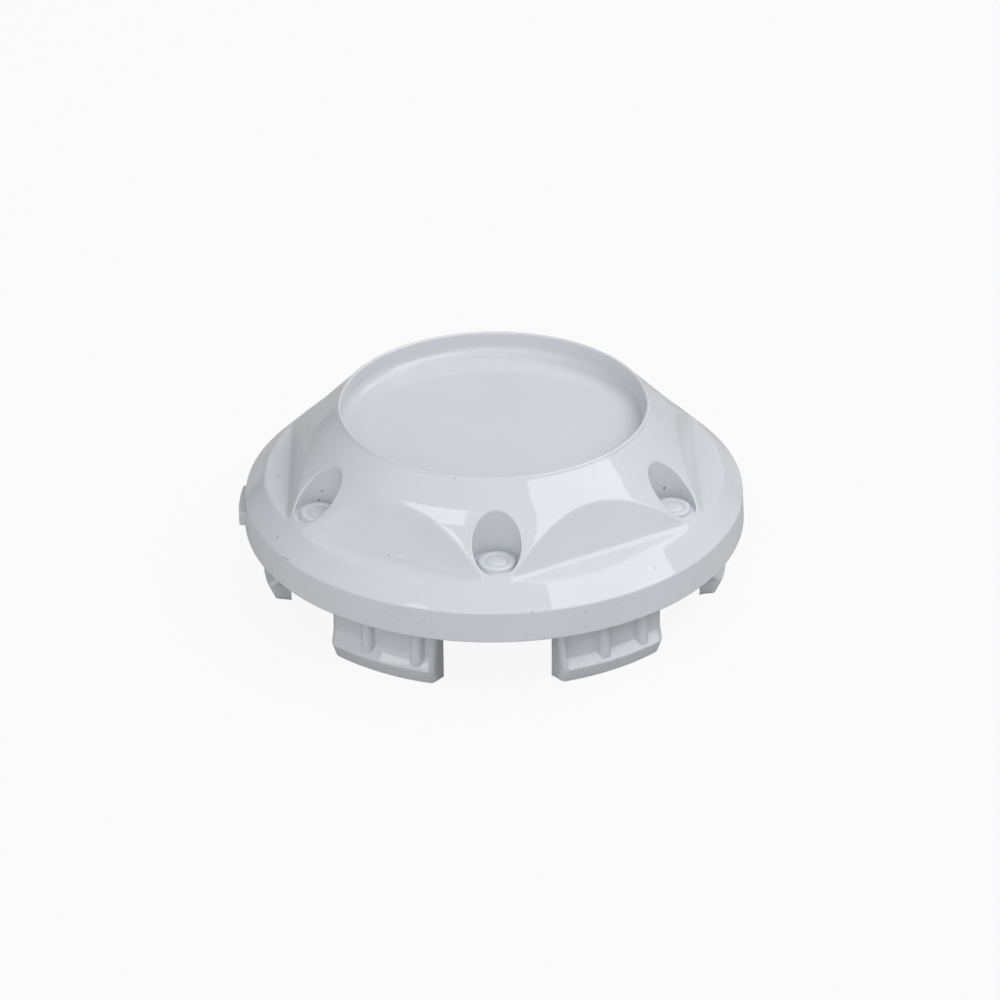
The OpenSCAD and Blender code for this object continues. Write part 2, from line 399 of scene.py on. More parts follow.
def petal_curves(skin, gap):
    """Lines of points along arch, foot and crease of half a petal, for each blend's width."""
    tip = skin.tip()
    curves = []
    for edge, width in ((skin.arch, EDGE_SOFT), (skin.foot, EDGE_SOFT), (skin.crease, CREASE_SOFT)):
        steps = round(edge(tip, 0) * tip / gap)
        for share in BLEND_SHARES:
            curves.append([(edge(t, share * width), t) for t in spread(0, tip, steps)])
    return [[(r * math.cos(t), r * math.sin(t)) for r, t in curve] for curve in curves]


def flank_mesh(patch, skin, inner_r, outer_r, hole_r, gap):
    """Half a sector of flank and petal, triangulated along its curves, with a pocket's hole."""
    spots, lines = [], []

    def line(points):
        """A chain of points that the triangles' edges have to follow."""
        start = len(spots)
        spots.extend(Vector(point) for point in points)
        lines.extend((i, i + 1) for i in range(start, len(spots) - 1))

    def clear(x, y, margin):
        """Whether a place lies in the half sector, a margin away from its borders."""
        r, turn = math.hypot(x, y), math.atan2(y, x)
        if not inner_r + margin < r < outer_r - margin:
            return False
        if (Vector((x, y)) - POCKET_CENTRE).length < hole_r + margin:
            return False
        return -1e-9 <= r * turn and r * math.sin(HALF - turn) > min(margin, BORDER_MARGIN)

    line(arc((0, 0), inner_r, 0, HALF, RING_STEPS))
    line(arc((0, 0), outer_r, 0, HALF, RIM_STEPS))
    line(arc(POCKET_CENTRE, hole_r, HALF - math.pi, HALF, POCKET_STEPS))
    for low, high in ((inner_r, POCKET_AT - hole_r), (POCKET_AT + hole_r, outer_r)):
        steps = max(2, round((high - low) / gap))
        line([(r * math.cos(HALF), r * math.sin(HALF)) for r in spread(low, high, steps)])
    for curve in petal_curves(skin, gap * 0.6):
        for near, run in groupby(curve, lambda point: clear(*point, CURVE_MARGIN)):
            if near:
                line(list(run))

    # Points of a triangular grid fill the rest, where none is near yet.
    tree = KDTree(len(spots))
    for i, spot in enumerate(spots):
        tree.insert((spot.x, spot.y, 0), i)
    tree.balance()
    height = gap * math.sqrt(3) / 2
    for j in range(int(outer_r / height) + 1):
        for i in range(int(outer_r / gap) + 1):
            x, y = (i + 0.5 * (j % 2)) * gap, j * height
            if clear(x, y, gap * 0.5) and tree.find((x, y, 0))[2] > gap * 0.55:
                spots.append(Vector((x, y)))

    result = delaunay_2d_cdt(spots, lines, [], 0, 1e-5)
    corners, triangles = result[0], result[2]

    def kept(face):
        """Whether a triangle lies between the two circles and outside the pocket's hole."""
        middle = sum((corners[i] for i in face), Vector((0, 0))) / 3
        return inner_r < middle.length < outer_r and (middle - POCKET_CENTRE).length > hole_r

    faces = [tuple(face) for face in triangles if kept(face)]
    patch.add([(p.x, p.y, skin.height(p.x, p.y)) for p in corners], faces)


def revolved(patch, profile, steps):
    """Sweeps a profile of (radius, height) points through half a sector."""
    rows = []
    for r, h in profile:
        rows.append([(r * math.cos(t), r * math.sin(t), h) for t in spread(0, HALF, steps)])
    return patch.strip(rows)


def ring_profile(skin):
    """From the flank over the ring's lip, down the dish's wall and across its floor."""
    wall = arc((RING_R - LIP_ROUND, RING_TOP - LIP_ROUND), LIP_ROUND, 0, math.pi, 10)
    corner = arc((DISH_R - DISH_CORNER, DISH_FLOOR + DISH_CORNER), DISH_CORNER, 0, -math.pi / 2, 12)
    # The flank turns up into the ring's side in a small hollow.
    start = RING_R + 0.35
    easing = [(start, skin.flank(start)), (RING_R + 0.12, skin.flank(RING_R + 0.12) + 0.01)]
    easing.append((RING_R + 0.02, skin.flank(RING_R) + 0.1))
    floor = [(r, DISH_FLOOR) for r in (33.5, 28, 21, 14, 7, 2)]
    return easing + wall[2:] + corner + floor


def rim_profile(skin):
    """From the flank over the rim's edge, down the band and up the inside of its wall."""
    band_turn = math.atan2(RIM_H, RIM_TOP_R - RIM_R)
    run = RIM_EDGE_R * math.tan((math.pi - FLANK_TURN - band_turn) / 2)
    low = Vector((RIM_TOP_R, RIM_H)) - run * Vector((math.cos(band_turn), math.sin(band_turn)))
    centre = low + RIM_EDGE_R * Vector((-math.sin(band_turn), math.cos(band_turn)))
    edge = arc(centre, RIM_EDGE_R, math.pi / 2 - FLANK_TURN, band_turn - math.pi / 2, 6)
    band = [tuple(low + (Vector((RIM_R, 0)) - low) * share) for share in (0.06, 0.35, 0.65, 0.92)]
    foot = arc((RIM_R - FOOT_EDGE - FOOT_INSET, FOOT_EDGE), FOOT_EDGE, 0, -math.pi / 2, 3)
    inside_h = skin.flank(RIM_INNER_R) - WALL / math.cos(FLANK_TURN)
    inner = [(RIM_INNER_R + INNER_EDGE, 0), (RIM_INNER_R, INNER_EDGE), (RIM_INNER_R, inside_h)]
    return edge + band + foot + inner


def round_pocket(turn, radius):
    """A place at a turn and a radius from the pocket's axis."""
    return POCKET_CENTRE.x + radius * math.cos(turn), POCKET_CENTRE.y + radius * math.sin(turn)


def pocket_strip(patch, skin, hole_r):
    """Half a pocket: rolled edge, wall, floor and dummy nut, round the pocket's own axis."""
    floor = skin.flank(POCKET_AT + POCKET_R) - POCKET_SILL
    columns = []
    for turn in spread(HALF - math.pi, HALF, POCKET_STEPS):
        top = skin.height(*round_pocket(turn, hole_r))
        brink = skin.height(*round_pocket(turn, POCKET_R))
        roll = min(POCKET_ROLL, (brink - floor) * 0.5)
        corner = min(POCKET_CORNER, (brink - floor) * 0.5)
        column = []
        for share in (0, 0.2, 0.4, 0.6, 0.8, 1):
            radius = hole_r + (POCKET_R - hole_r) * (2 * share - share * share)
            edge_h = (1 - share) ** 2 * top + 2 * share * (1 - share) * brink
            column.append((radius, edge_h + share ** 2 * (brink - roll)))
        wall_h = brink - roll - floor - corner
        column += [(POCKET_R, floor + corner + wall_h * share) for share in (0.67, 0.33)]
        column += [(POCKET_R - corner + x, floor + corner + y)
                   for x, y in arc((0, 0), corner, 0, -math.pi / 2, 4)]
        column += nut_profile(floor)
        columns.append([(*round_pocket(turn, radius), h) for radius, h in column])
    rows = patch.strip([list(row) for row in zip(*columns)])
    patch.fan((*POCKET_CENTRE, floor + NUT_H), rows[-1])


def nut_profile(floor):
    """From the pocket's floor up the dummy nut's side, over its edge and into its groove."""
    top = floor + NUT_H
    base = arc((NUT_R + NUT_FOOT, floor + NUT_FOOT), NUT_FOOT, -math.pi / 2, -math.pi, 3)
    edge = arc((NUT_R - NUT_EDGE, top - NUT_EDGE), NUT_EDGE, 0, math.pi / 2, 5)
    groove_in, groove_out = NUT_LAND_R, NUT_LAND_R + GROOVE_W
    low = top - GROOVE_DEPTH
    groove = [(groove_out + 0.12, top), (groove_out, top - 0.05), (groove_out - 0.12, low + 0.04)]
    groove += [((groove_in + groove_out) / 2, low), (groove_in + 0.12, low + 0.04)]
    groove += [(groove_in, top - 0.05), (groove_in - 0.12, top), (1.2, top)]
    return base + edge + groove


def underside(patch, skin):
    """Half a sector of the hollow: ceiling, boss under the dish and cups behind the pockets."""
    flank_mesh(patch, skin, BOSS_R, RIM_INNER_R, CUP_R, HIDDEN_GAP)
    ceiling = DISH_FLOOR - WALL
    boss = [(BOSS_R, skin.flank(BOSS_R)), (BOSS_R, ceiling), (20, ceiling), (4, ceiling)]
    rows = revolved(patch, boss, RING_STEPS)
    patch.fan((0, 0, ceiling), rows[-1])
    outer = Skin(0)
    floor = outer.flank(POCKET_AT + POCKET_R) - POCKET_SILL - WALL
    rows = []
    for radius in CUP_RADII:
        row = []
        for turn in spread(HALF - math.pi, HALF, POCKET_STEPS):
            x, y = round_pocket(turn, radius)
            row.append((x, y, min(skin.height(x, y), floor)))
        rows.append(row)
    brim = [(x, y, skin.height(x, y)) for x, y, _ in rows[0]]
    rows = patch.strip([brim] + rows)
    patch.fan((*POCKET_CENTRE, floor), rows[-1])


def shell_sector():
    """One sixth of the shell, from pocket to pocket, with a petal along its middle."""
    patch = Patch()
    outer, inner = Skin(0), Skin(WALL)
    rim = rim_profile(outer)
    ring = ring_profile(outer)
    hole_r = POCKET_R + POCKET_ROLL
    flank_mesh(patch, outer, ring[0][0], rim[0][0], hole_r, FLANK_GAP)
    rows = revolved(patch, ring, RING_STEPS)
    patch.fan((0, 0, DISH_FLOOR), rows[-1])
    revolved(patch, rim, RIM_STEPS)
    pocket_strip(patch, outer, hole_r)
    underside(patch, inner)
    patch.mirror()
    return patch.mesh("shell_sector")


def leg_body_r(h):
    """Radius of a leg's round front at a height: foot, lip, ledge and panel."""
    slant = FOOT_R + (LIP_R - FOOT_R) * (h + LIFT) / (LIP_EDGE_H + LIFT)
    ledge = LIP_R - (LIP_R - PANEL_R) * (h - LIP_EDGE_H) / (LEDGE_H - LIP_EDGE_H)
    return soft_max(PANEL_R, soft_min(slant, ledge, LIP_SOFT), LEDGE_SOFT)


def drop(near, radius):
    """How far a rounded edge has fallen back at a distance from its end."""
    reach = max(radius - near, 0)
    return radius - math.sqrt(radius * radius - reach * reach)


def drafted(x, radius):
    """A half circle's height, carried on at its sides by steep drafted walls."""
    turn_x = radius * DRAFT / math.hypot(DRAFT, 1)
    if abs(x) < turn_x:
        return math.sqrt(radius * radius - x * x)
    return math.sqrt(radius * radius - turn_x * turn_x) - DRAFT * (abs(x) - turn_x)


def leg_front(x, h, ribs, web_side):
    """How far a leg's front lies from the axis, at a place across it and a height."""
    front = math.sqrt(leg_body_r(h) ** 2 - x * x)
    if h > LIP_EDGE_H:
        rise = (h - LIP_EDGE_H) / -LIP_EDGE_H
        for rib in ribs:
            radius = RIB_R + RIB_SPREAD * (1 - rise)
            nose = math.sqrt(LIP_R ** 2 - rib * rib) - RIB_SETBACK - radius - RIB_LEAN * rise
            below = max(LIP_EDGE_H + radius - h, 0)
            front = soft_max(front, nose + drafted(math.hypot(x - rib, below), radius), RIB_SOFT)
        web_r = LIP_R + (PANEL_R + WEB_TOP - LIP_R) * min(rise, 1)
        past = LEG_W / 2 - WEB_W - web_side * x
        web = math.sqrt(web_r ** 2 - x * x) - max(past, 0) * DRAFT
        front = soft_max(front, web, WEB_SOFT)
    return front - drop(LEG_W / 2 - abs(x), LEG_CORNER)


def flared(x, h, web_side):
    """Above its lip a leg's outer end reaches a little further sideways."""
    share = min(max((h - LIP_EDGE_H) / (LEDGE_H - LIP_EDGE_H), 0), 1)
    near_end = max(1 - (LEG_W / 2 + web_side * x) / FLARE_REACH, 0)
    return x - web_side * FLARE * near_end * share


def leg_columns(ribs, web_side):
    """Places across a leg, close together where ribs, web and corners turn."""
    places = spread(-LEG_W / 2 + LEG_CORNER, LEG_W / 2 - LEG_CORNER, LEG_STEPS)
    for side in (-1, 1):
        places += [side * (LEG_W / 2 - LEG_CORNER * near) for near in (0, 0.05, 0.15, 0.3, 0.5, 0.75)]
        for rib in ribs:
            places += [rib + side * RIB_R * share
                       for share in (0.35, 0.6, 0.8, 0.92, 0.99, 1.05, 1.12, 1.2, 1.3)]
    places += [web_side * (LEG_W / 2 - WEB_W - past) for past in (0, 0.1, 0.2, 0.3, 0.45, 0.6)]
    kept = []
    for place in sorted(places):
        if not kept or place - kept[-1] > 0.05:
            kept.append(place)
    kept[-1] = LEG_W / 2
    return kept


def above_corner(x, h, corner):
    """Height of a level of the leg's grid, lifted where the foot's ends are rounded."""
    lowest = -LIFT + drop(LEG_W / 2 - abs(x), corner)
    share = max(1 - (h + LIFT) / (2 * FOOT_CORNER), 0)
    return h + (lowest + LIFT) * share


def leg(ribs, web_side):
    """One leg as a closed grid, with its front along +X and its width along Y."""
    patch = Patch()
    columns = leg_columns(ribs, web_side)
    foot = -LIFT
    heights = [foot, foot + 0.06, foot + 0.16, foot + FOOT_ROUND, foot + 1.2, foot + 2.4]
    heights += [LIP_EDGE_H + step for step in LEDGE_STEPS]
    heights += spread(LEDGE_H + 0.8, LEG_TOP, PANEL_STEPS)
    front, back = [], []
    for h in heights:
        front_row, back_row = [], []
        for x in columns:
            height = above_corner(x, h, FOOT_CORNER)
            front_r = leg_front(x, height, ribs, web_side) - drop(h - foot, FOOT_ROUND)
            front_row.append((front_r, flared(x, height, web_side), height))
            height = above_corner(x, h, INNER_CORNER)
            back_row.append((math.sqrt(LEG_INNER_R ** 2 - x * x), flared(x, height, web_side), height))
        front.append(front_row)
        back.append(back_row)
    patch.strip(front)
    patch.strip(back)

    def border(rows):
        """The points round the edge of a grid, in one closed row."""
        sides = [row[-1] for row in rows[1:-1]], [row[0] for row in rows[-2:0:-1]]
        return rows[0] + sides[0] + rows[-1][::-1] + sides[1]

    patch.strip([border(front), border(back)], closed=True)
    return patch


def gusset(x):
    """A web behind a leg that widens upwards, its top sunk into the shell's wall."""
    outline = [(GUSSET_FRONT_R, -GUSSET_DROP), (LEG_INNER_R - 0.1, -GUSSET_DROP)]
    outline += [(LEG_INNER_R - GUSSET_REACH, RIM_H), *GUSSET_TOP]
    patch = Patch()
    sides = [[(t, x + side * GUSSET_T / 2, h) for t, h in outline] for side in (-1, 1)]
    near, far = patch.strip(sides, closed=True)
    patch.faces += [tuple(near), tuple(far)]
    return patch


def leg_pair():
    """A left and a right leg with their gussets, either side of the +X direction."""
    pair = Patch()
    for turn, ribs, web_side in ((-HALF, LEFT_RIBS, 1), (HALF, RIGHT_RIBS, -1)):
        for part in (leg(ribs, web_side), gusset(-GUSSET_X), gusset(GUSSET_X)):
            cos, sin = math.cos(turn), math.sin(turn)
            pair.add([(x * cos - y * sin, x * sin + y * cos, z) for x, y, z in part.points], part.faces)
    return pair.mesh("leg_pair")


def lug():
    """Bevelled lug on the rim's lower edge, its root rising into the rim's wall."""
    patch = Patch()
    inner, outer = RIM_R - WALL / 2, RIM_R + LUG_PROUD
    bevel_turn = LUG_BEVEL / RIM_R
    sections = []
    for turn, shrink in ((0, LUG_BEVEL), (bevel_turn * 0.3, LUG_BEVEL * 0.3), (bevel_turn, 0)):
        sections.append((-LUG_ARC / 2 + turn, shrink))
    sections += [(turn, 0) for turn in spread(-LUG_ARC / 2, LUG_ARC / 2, LUG_STEPS)[1:-1]]
    sections += [(-turn, shrink) for turn, shrink in sections[2::-1]]
    rows = []
    for turn, shrink in sections:
        at = FRONT + LUG_TURN + turn
        edge = outer - shrink
        profile = [(inner, LUG_ROOT_H), (RIM_R, 0)]
        profile += arc((edge - LUG_BEVEL, LUG_BEVEL), LUG_BEVEL, -math.pi / 2, 0, 4)
        profile += arc((edge - LUG_BEVEL, LUG_H - LUG_BEVEL - shrink), LUG_BEVEL, 0, math.pi / 2, 4)
        profile.append((inner, LUG_H - shrink))
        rows.append([(r * math.cos(at), r * math.sin(at), h) for r, h in profile])
    indexed = patch.strip(rows, closed=True)
    patch.faces += [tuple(indexed[0]), tuple(indexed[-1])]
    return patch.mesh("lug")


def feed(tree, socket, source):
    """Links a source into a socket, or sets it there as a constant."""
    if isinstance(source, Value):
        source = source.socket
    if isinstance(source, bpy.types.NodeSocket):
        tree.links.new(source, socket)
    else:
        socket.default_value = source


def add_node(tree, kind, settings=(), **inputs):
    """A new node, with its settings and with its inputs fed by name."""
    made = tree.nodes.new(kind)
    for name, value in dict(settings).items():
        setattr(made, name, value)
    for name, source in inputs.items():
        feed(tree, made.inputs[name.replace("_", " ")], source)
    return made


def vector_maths(tree, operation, first, second):
    """Vector maths on two sockets or vectors, as a Value where it gives a number."""
    made = add_node(tree, "ShaderNodeVectorMath", settings={"operation": operation})
    for socket, source in zip(made.inputs, (first, second)):
        feed(tree, socket, source)
    if operation in ("DISTANCE", "DOT_PRODUCT"):
        return Value(tree, made.outputs["Value"])
    return made.outputs[0]


class Value:
    """A number in a node tree, so that maths with nodes reads as plain maths."""

    def __init__(self, tree, socket):
        self.tree = tree
        self.socket = socket

    def maths(self, operation, *others, clamp=False):
        """One maths node, with this value first."""
        settings = {"operation": operation, "use_clamp": clamp}
        made = add_node(self.tree, "ShaderNodeMath", settings=settings)
        for socket, source in zip(made.inputs, (self, *others)):
            feed(self.tree, socket, source)
        return Value(self.tree, made.outputs[0])

    def __add__(self, other):
        return self.maths("ADD", other)

    def __sub__(self, other):
        return self.maths("SUBTRACT", other)

    def __mul__(self, other):
        return self.maths("MULTIPLY", other)

    def __truediv__(self, other):
        return self.maths("DIVIDE", other)

    def __rsub__(self, other):
        return (self * -1.0).maths("ADD", other)

    __radd__ = __add__
    __rmul__ = __mul__

    def band(self, low, high):
        """Rises from 0 to 1 between two values."""
        made = add_node(self.tree, "ShaderNodeMapRange", Value=self, From_Min=low, From_Max=high,
                        settings={"interpolation_type": "SMOOTHSTEP"})
        return Value(self.tree, made.outputs["Result"])

    def most(self, other):
        """The greater of the two."""
        return self.maths("MAXIMUM", other)

    def least(self, other):
        """The smaller of the two."""
        return self.maths("MINIMUM", other)


def repeat_tree():
    """Geometry nodes that repeat a mesh round the axis and join the seams."""
    tree = bpy.data.node_groups.new("repeat_round_axis", "GeometryNodeTree")
    sockets = tree.interface
    sockets.new_socket("Geometry", in_out="INPUT", socket_type="NodeSocketGeometry")
    sockets.new_socket("Count", in_out="INPUT", socket_type="NodeSocketInt")
    sockets.new_socket("First turn", in_out="INPUT", socket_type="NodeSocketFloat")
    sockets.new_socket("Seam", in_out="INPUT", socket_type="NodeSocketFloat")
    sockets.new_socket("Material", in_out="INPUT", socket_type="NodeSocketMaterial")
    sockets.new_socket("Geometry", in_out="OUTPUT", socket_type="NodeSocketGeometry")

    given = tree.nodes.new("NodeGroupInput").outputs
    points = add_node(tree, "GeometryNodePoints", Count=given["Count"])
    index = Value(tree, tree.nodes.new("GeometryNodeInputIndex").outputs[0])
    turn = index * (2 * math.pi) / Value(tree, given["Count"]) + Value(tree, given["First turn"])
    turned = add_node(tree, "ShaderNodeCombineXYZ", Z=turn)
    placed = add_node(tree, "GeometryNodeInstanceOnPoints", Points=points.outputs[0],
                      Instance=given["Geometry"], Rotation=turned.outputs[0])
    whole = add_node(tree, "GeometryNodeRealizeInstances", Geometry=placed.outputs[0])
    joined = add_node(tree, "GeometryNodeMergeByDistance", Geometry=whole.outputs[0],
                      Distance=given["Seam"])
    smooth = add_node(tree, "GeometryNodeSetShadeSmooth", Geometry=joined.outputs[0])
    painted = add_node(tree, "GeometryNodeSetMaterial", Geometry=smooth.outputs[0],
                       Material=given["Material"])
    out = tree.nodes.new("NodeGroupOutput")
    tree.links.new(painted.outputs[0], out.inputs[0])
    return tree


def piece(name, mesh, tree, count, first_turn, material):
    """An object made of a mesh repeated round the axis, closed, shaded smooth and painted."""
    obj = bpy.data.objects.new(name, mesh)
    bpy.context.scene.collection.objects.link(obj)
    modifier = obj.modifiers.new("Repeat", "NODES")
    modifier.node_group = tree
    values = {"Count": count, "First turn": first_turn, "Seam": SEAM * MM, "Material": material}
    for item in tree.interface.items_tree:
        if item.in_out == "INPUT" and item.name in values:
            modifier[item.identifier] = values[item.name]
    obj.data = evaluated(obj)
    close(obj.data)
    weighted = obj.modifiers.new("Normals", "WEIGHTED_NORMAL")
    weighted.keep_sharp = True
    obj.data = evaluated(obj)
    return obj


def evaluated(obj):
    """The mesh that an object's modifiers give, with the modifiers taken off."""
    view = bpy.context.evaluated_depsgraph_get()
    mesh = bpy.data.meshes.new_from_object(obj.evaluated_get(view), depsgraph=view)
    obj.modifiers.clear()
    return mesh


def close(mesh):
    """Turns all faces outward and marks the edges that stay sharp."""
    shape = bmesh.new()
    shape.from_mesh(mesh)
    bmesh.ops.recalc_face_normals(shape, faces=shape.faces)
    open_edges = sum(1 for edge in shape.edges if not edge.is_manifold)
    print(mesh.name, "faces", len(shape.faces), "open or doubled edges", open_edges)
    shape.to_mesh(mesh)
    shape.free()
    mesh.set_sharp_from_angle(angle=SHARP_TURN)


def place_of(at):
    """A mark's place in metres, from millimetres with the height from the rim's lower edge."""
    return Vector((at[0], at[1], at[2] + LIFT)) * MM


class Paint:
    """Builds one material's nodes round its Principled shader."""

    def __init__(self, name):
        self.material = bpy.data.materials.new(name)
        self.material.use_nodes = True
        self.tree = self.material.node_tree
        self.shader = self.tree.nodes["Principled BSDF"]
        self.place = self.tree.nodes.new("ShaderNodeTexCoord").outputs["Object"]

    def set(self, **constants):
        """Sets constants on the Principled shader."""
        for name, value in constants.items():
            self.shader.inputs[name.replace("_", " ")].default_value = value

    def link(self, name, source):
        """Links a varying source into the Principled shader."""
        feed(self.tree, self.shader.inputs[name], source)

    def node(self, kind, settings=(), **inputs):
        """A new node in this material."""
        return add_node(self.tree, kind, settings, **inputs)

    def noise(self, size, detail=2.0, roughness=0.5, shift=(0, 0, 0)):
        """Noise whose features measure about a size in millimetres."""
        moved = self.node("ShaderNodeMapping", Vector=self.place, Location=shift)
        made = self.node("ShaderNodeTexNoise", Vector=moved.outputs[0], Scale=1 / (size * MM),
                         Detail=detail, Roughness=roughness)
        return Value(self.tree, made.outputs[0])

    def mix(self, share, first, second):
        """A colour between two others, each a socket or a constant."""
        made = self.node("ShaderNodeMix", settings={"data_type": "RGBA"}, Factor=share)
        for socket, source in ((made.inputs[6], first), (made.inputs[7], second)):
            fixed = not isinstance(source, bpy.types.NodeSocket)
            feed(self.tree, socket, (*source, 1) if fixed else source)
        return made.outputs[2]

    def spot(self, at, radius, soft=0.5):
        """A round mark: 1 inside a radius round a place, both in millimetres."""
        return self.mark(vector_maths(self.tree, "DISTANCE", self.place, place_of(at)), radius, soft)

    def stroke(self, start, end, radius):
        """A short straight mark from one place to another."""
        start, end = place_of(start), place_of(end)
        run = end - start
        past = vector_maths(self.tree, "SUBTRACT", self.place, start)
        share = vector_maths(self.tree, "DOT_PRODUCT", past, run / run.length_squared)
        nearest = self.node("ShaderNodeVectorMath", settings={"operation": "SCALE"},
                            Scale=share.maths("ADD", 0, clamp=True))
        nearest.inputs[0].default_value = run
        gap = vector_maths(self.tree, "DISTANCE", past, nearest.outputs[0])
        return self.mark(gap, radius, soft=0.7)

    def mark(self, distance, radius, soft):
        """1 within a radius, falling to 0 over its soft share."""
        return 1 - distance.band(radius * (1 - soft) * MM, radius * MM)

    def bump(self, height):
        """A normal bent by a height in millimetres."""
        return self.node("ShaderNodeBump", Height=height, Distance=MM).outputs[0]


def sink(reach):
    """The flank falls off a little more steeply beside the pockets, as the moulding shrank there."""
    past = (reach - SINK_START).least(SINK_END - SINK_START)
    return past * reach.band(SINK_START - 0.4, SINK_START + 0.4) * -SINK_SLOPE


def arch_sink(x, y, reach):
    """The flank falls off along a petal's arch too, in a narrow strip below the pockets' tops."""
    skin = Skin(0)
    turn = y.maths("ARCTAN2", x) / STEP
    along = reach * ((turn - turn.maths("ROUND")) * STEP).maths("COSINE")
    above = skin.upper_0 - skin.flank_0 - along * skin.upper_slope + reach * skin.slope
    past = (ARCH_SINK_W - above / (skin.upper_slope - skin.slope)).most(0).least(ARCH_SINK_W)
    return past * reach.band(SINK_END - 0.5, SINK_END + 1.5) * -ARCH_SINK_SLOPE


def polish(paint, x, y, reach):
    """Fine lines round the flank's upper half, left by the mould's polishing."""
    around = paint.node("ShaderNodeCombineXYZ", X=x / reach * POLISH_PER_RADIAN,
                        Y=y / reach * POLISH_PER_RADIAN, Z=reach)
    noise = paint.node("ShaderNodeTexNoise", Vector=around.outputs[0], Scale=1.0, Detail=2.0)
    lines = Value(paint.tree, noise.outputs[0])
    fade_in = reach.band(POLISH_START - 0.5, POLISH_START + 0.5)
    fade_out = reach.band(POLISH_END - 0.8, POLISH_END + 0.8)
    return lines * fade_in * (1 - fade_out) * POLISH_DEPTH


def specks(paint, cloud):
    """Fine specks strewn in clouds, with single specks and scuffs at their places."""
    strewn = paint.noise(SPECK_SIZE, detail=1).band(0.8, 0.84)
    dark = strewn * cloud.band(0.5, 0.6) * SPECK_DEPTH
    for at, radius, depth in SPECKS:
        dark = dark.most(paint.spot(at, radius) * depth)
    for start, end, radius, depth in SCUFFS:
        dark = dark.most(paint.stroke(start, end, radius) * depth)
    return dark


def smears(paint, z):
    """Faint smears of grime on the rim's band, with stronger blotches at their places."""
    smear = paint.noise(SMEAR_SIZE, detail=4, roughness=0.65).band(0.5, 0.68)
    grime = smear * paint.noise(PATCH_SIZE, shift=(0.05, 0.4, 0.1)).band(0.5, 0.7) * SMEAR_DEPTH
    for at, radius, depth in BLOTCHES:
        grime = grime.most(paint.spot(at, radius, soft=0.9) * smear * depth * BLOTCH_DEPTH)
    return grime * (1 - z.band(LIFT + RIM_H - 1, LIFT + RIM_H))


def painted_plastic():
    """Glossy light grey paint with a faint waviness, specks, scuffs, painted highlights and grime."""
    paint = Paint("painted_plastic")
    place = paint.node("ShaderNodeSeparateXYZ", Vector=paint.place).outputs
    x, y, z = (Value(paint.tree, place[axis]) / MM for axis in "XYZ")
    reach = (x * x + y * y).maths("SQRT")
    cloud = paint.noise(CLOUD_SIZE, detail=3)
    dark, grime = specks(paint, cloud), smears(paint, z)
    # Painted highlights: lighter, rougher strokes on the left petal's crease and edges.
    painted_highlight = 0.0
    for start, end, radius, depth in PAINTED_HIGHLIGHTS:
        painted_highlight = paint.stroke(start, end, radius) * depth + painted_highlight
    darker, lighter = ([c * level for c in PAINT_COLOR] for level in PAINT_TONES)
    tone = paint.mix(cloud.band(0.3, 0.7), darker, lighter)
    shade = paint.mix(painted_highlight, tone, PAINTED_HIGHLIGHT_COLOR)
    paint.link("Base Color", paint.mix(dark.most(grime), shade, GRIME_COLOR))
    grain = paint.noise(GRAIN_SIZE) * GRAIN_ROUGHNESS
    mark_roughness = dark * SPECK_ROUGHNESS + grime * GRIME_ROUGHNESS + painted_highlight * PAINTED_HIGHLIGHT_ROUGHNESS
    paint.link("Roughness", grain + mark_roughness + ROUGHNESS)
    paint.set(IOR=PAINT_IOR)
    wave = reach.band(DISH_R - 0.2, RING_R + 0.9) * (FLANK_WAVE - DISH_WAVE) + DISH_WAVE
    peel = paint.noise(PEEL_SIZE, detail=1.5) * PEEL_DEPTH + paint.noise(WAVE_SIZE, detail=1) * wave
    shrunk = sink(reach) + arch_sink(x, y, reach)
    paint.link("Normal", paint.bump(peel + shrunk + polish(paint, x, y, reach)))
    return paint.material


def floor():
    """Floor under the cap's feet, which the camera sees nearly white, with a faint shadow."""
    mesh = bpy.data.meshes.new("floor")
    sides = ((-1, -1), (1, -1), (1, 1), (-1, 1))
    corners = [(x * FLOOR_REACH, y * FLOOR_REACH, 0) for x, y in sides]
    mesh.from_pydata(corners, [], [(0, 1, 2, 3)])
    obj = bpy.data.objects.new("floor", mesh)
    bpy.context.scene.collection.objects.link(obj)
    stage = Paint("floor")
    stage.set(Base_Color=(0.5, 0.5, 0.5, 1), Roughness=0.9, Specular_IOR_Level=0.2)
    glow = stage.node("ShaderNodeEmission", Color=(1, 1, 1, 1), Strength=1.0)
    seen = Value(stage.tree, stage.tree.nodes.new("ShaderNodeLightPath").outputs["Is Camera Ray"])
    mixed = stage.node("ShaderNodeMixShader", Fac=seen * FLOOR_GLOW)
    stage.tree.links.new(stage.shader.outputs[0], mixed.inputs[1])
    stage.tree.links.new(glow.outputs[0], mixed.inputs[2])
    stage.tree.links.new(mixed.outputs[0], stage.tree.nodes["Material Output"].inputs["Surface"])
    mesh.materials.append(stage.material)
    return obj


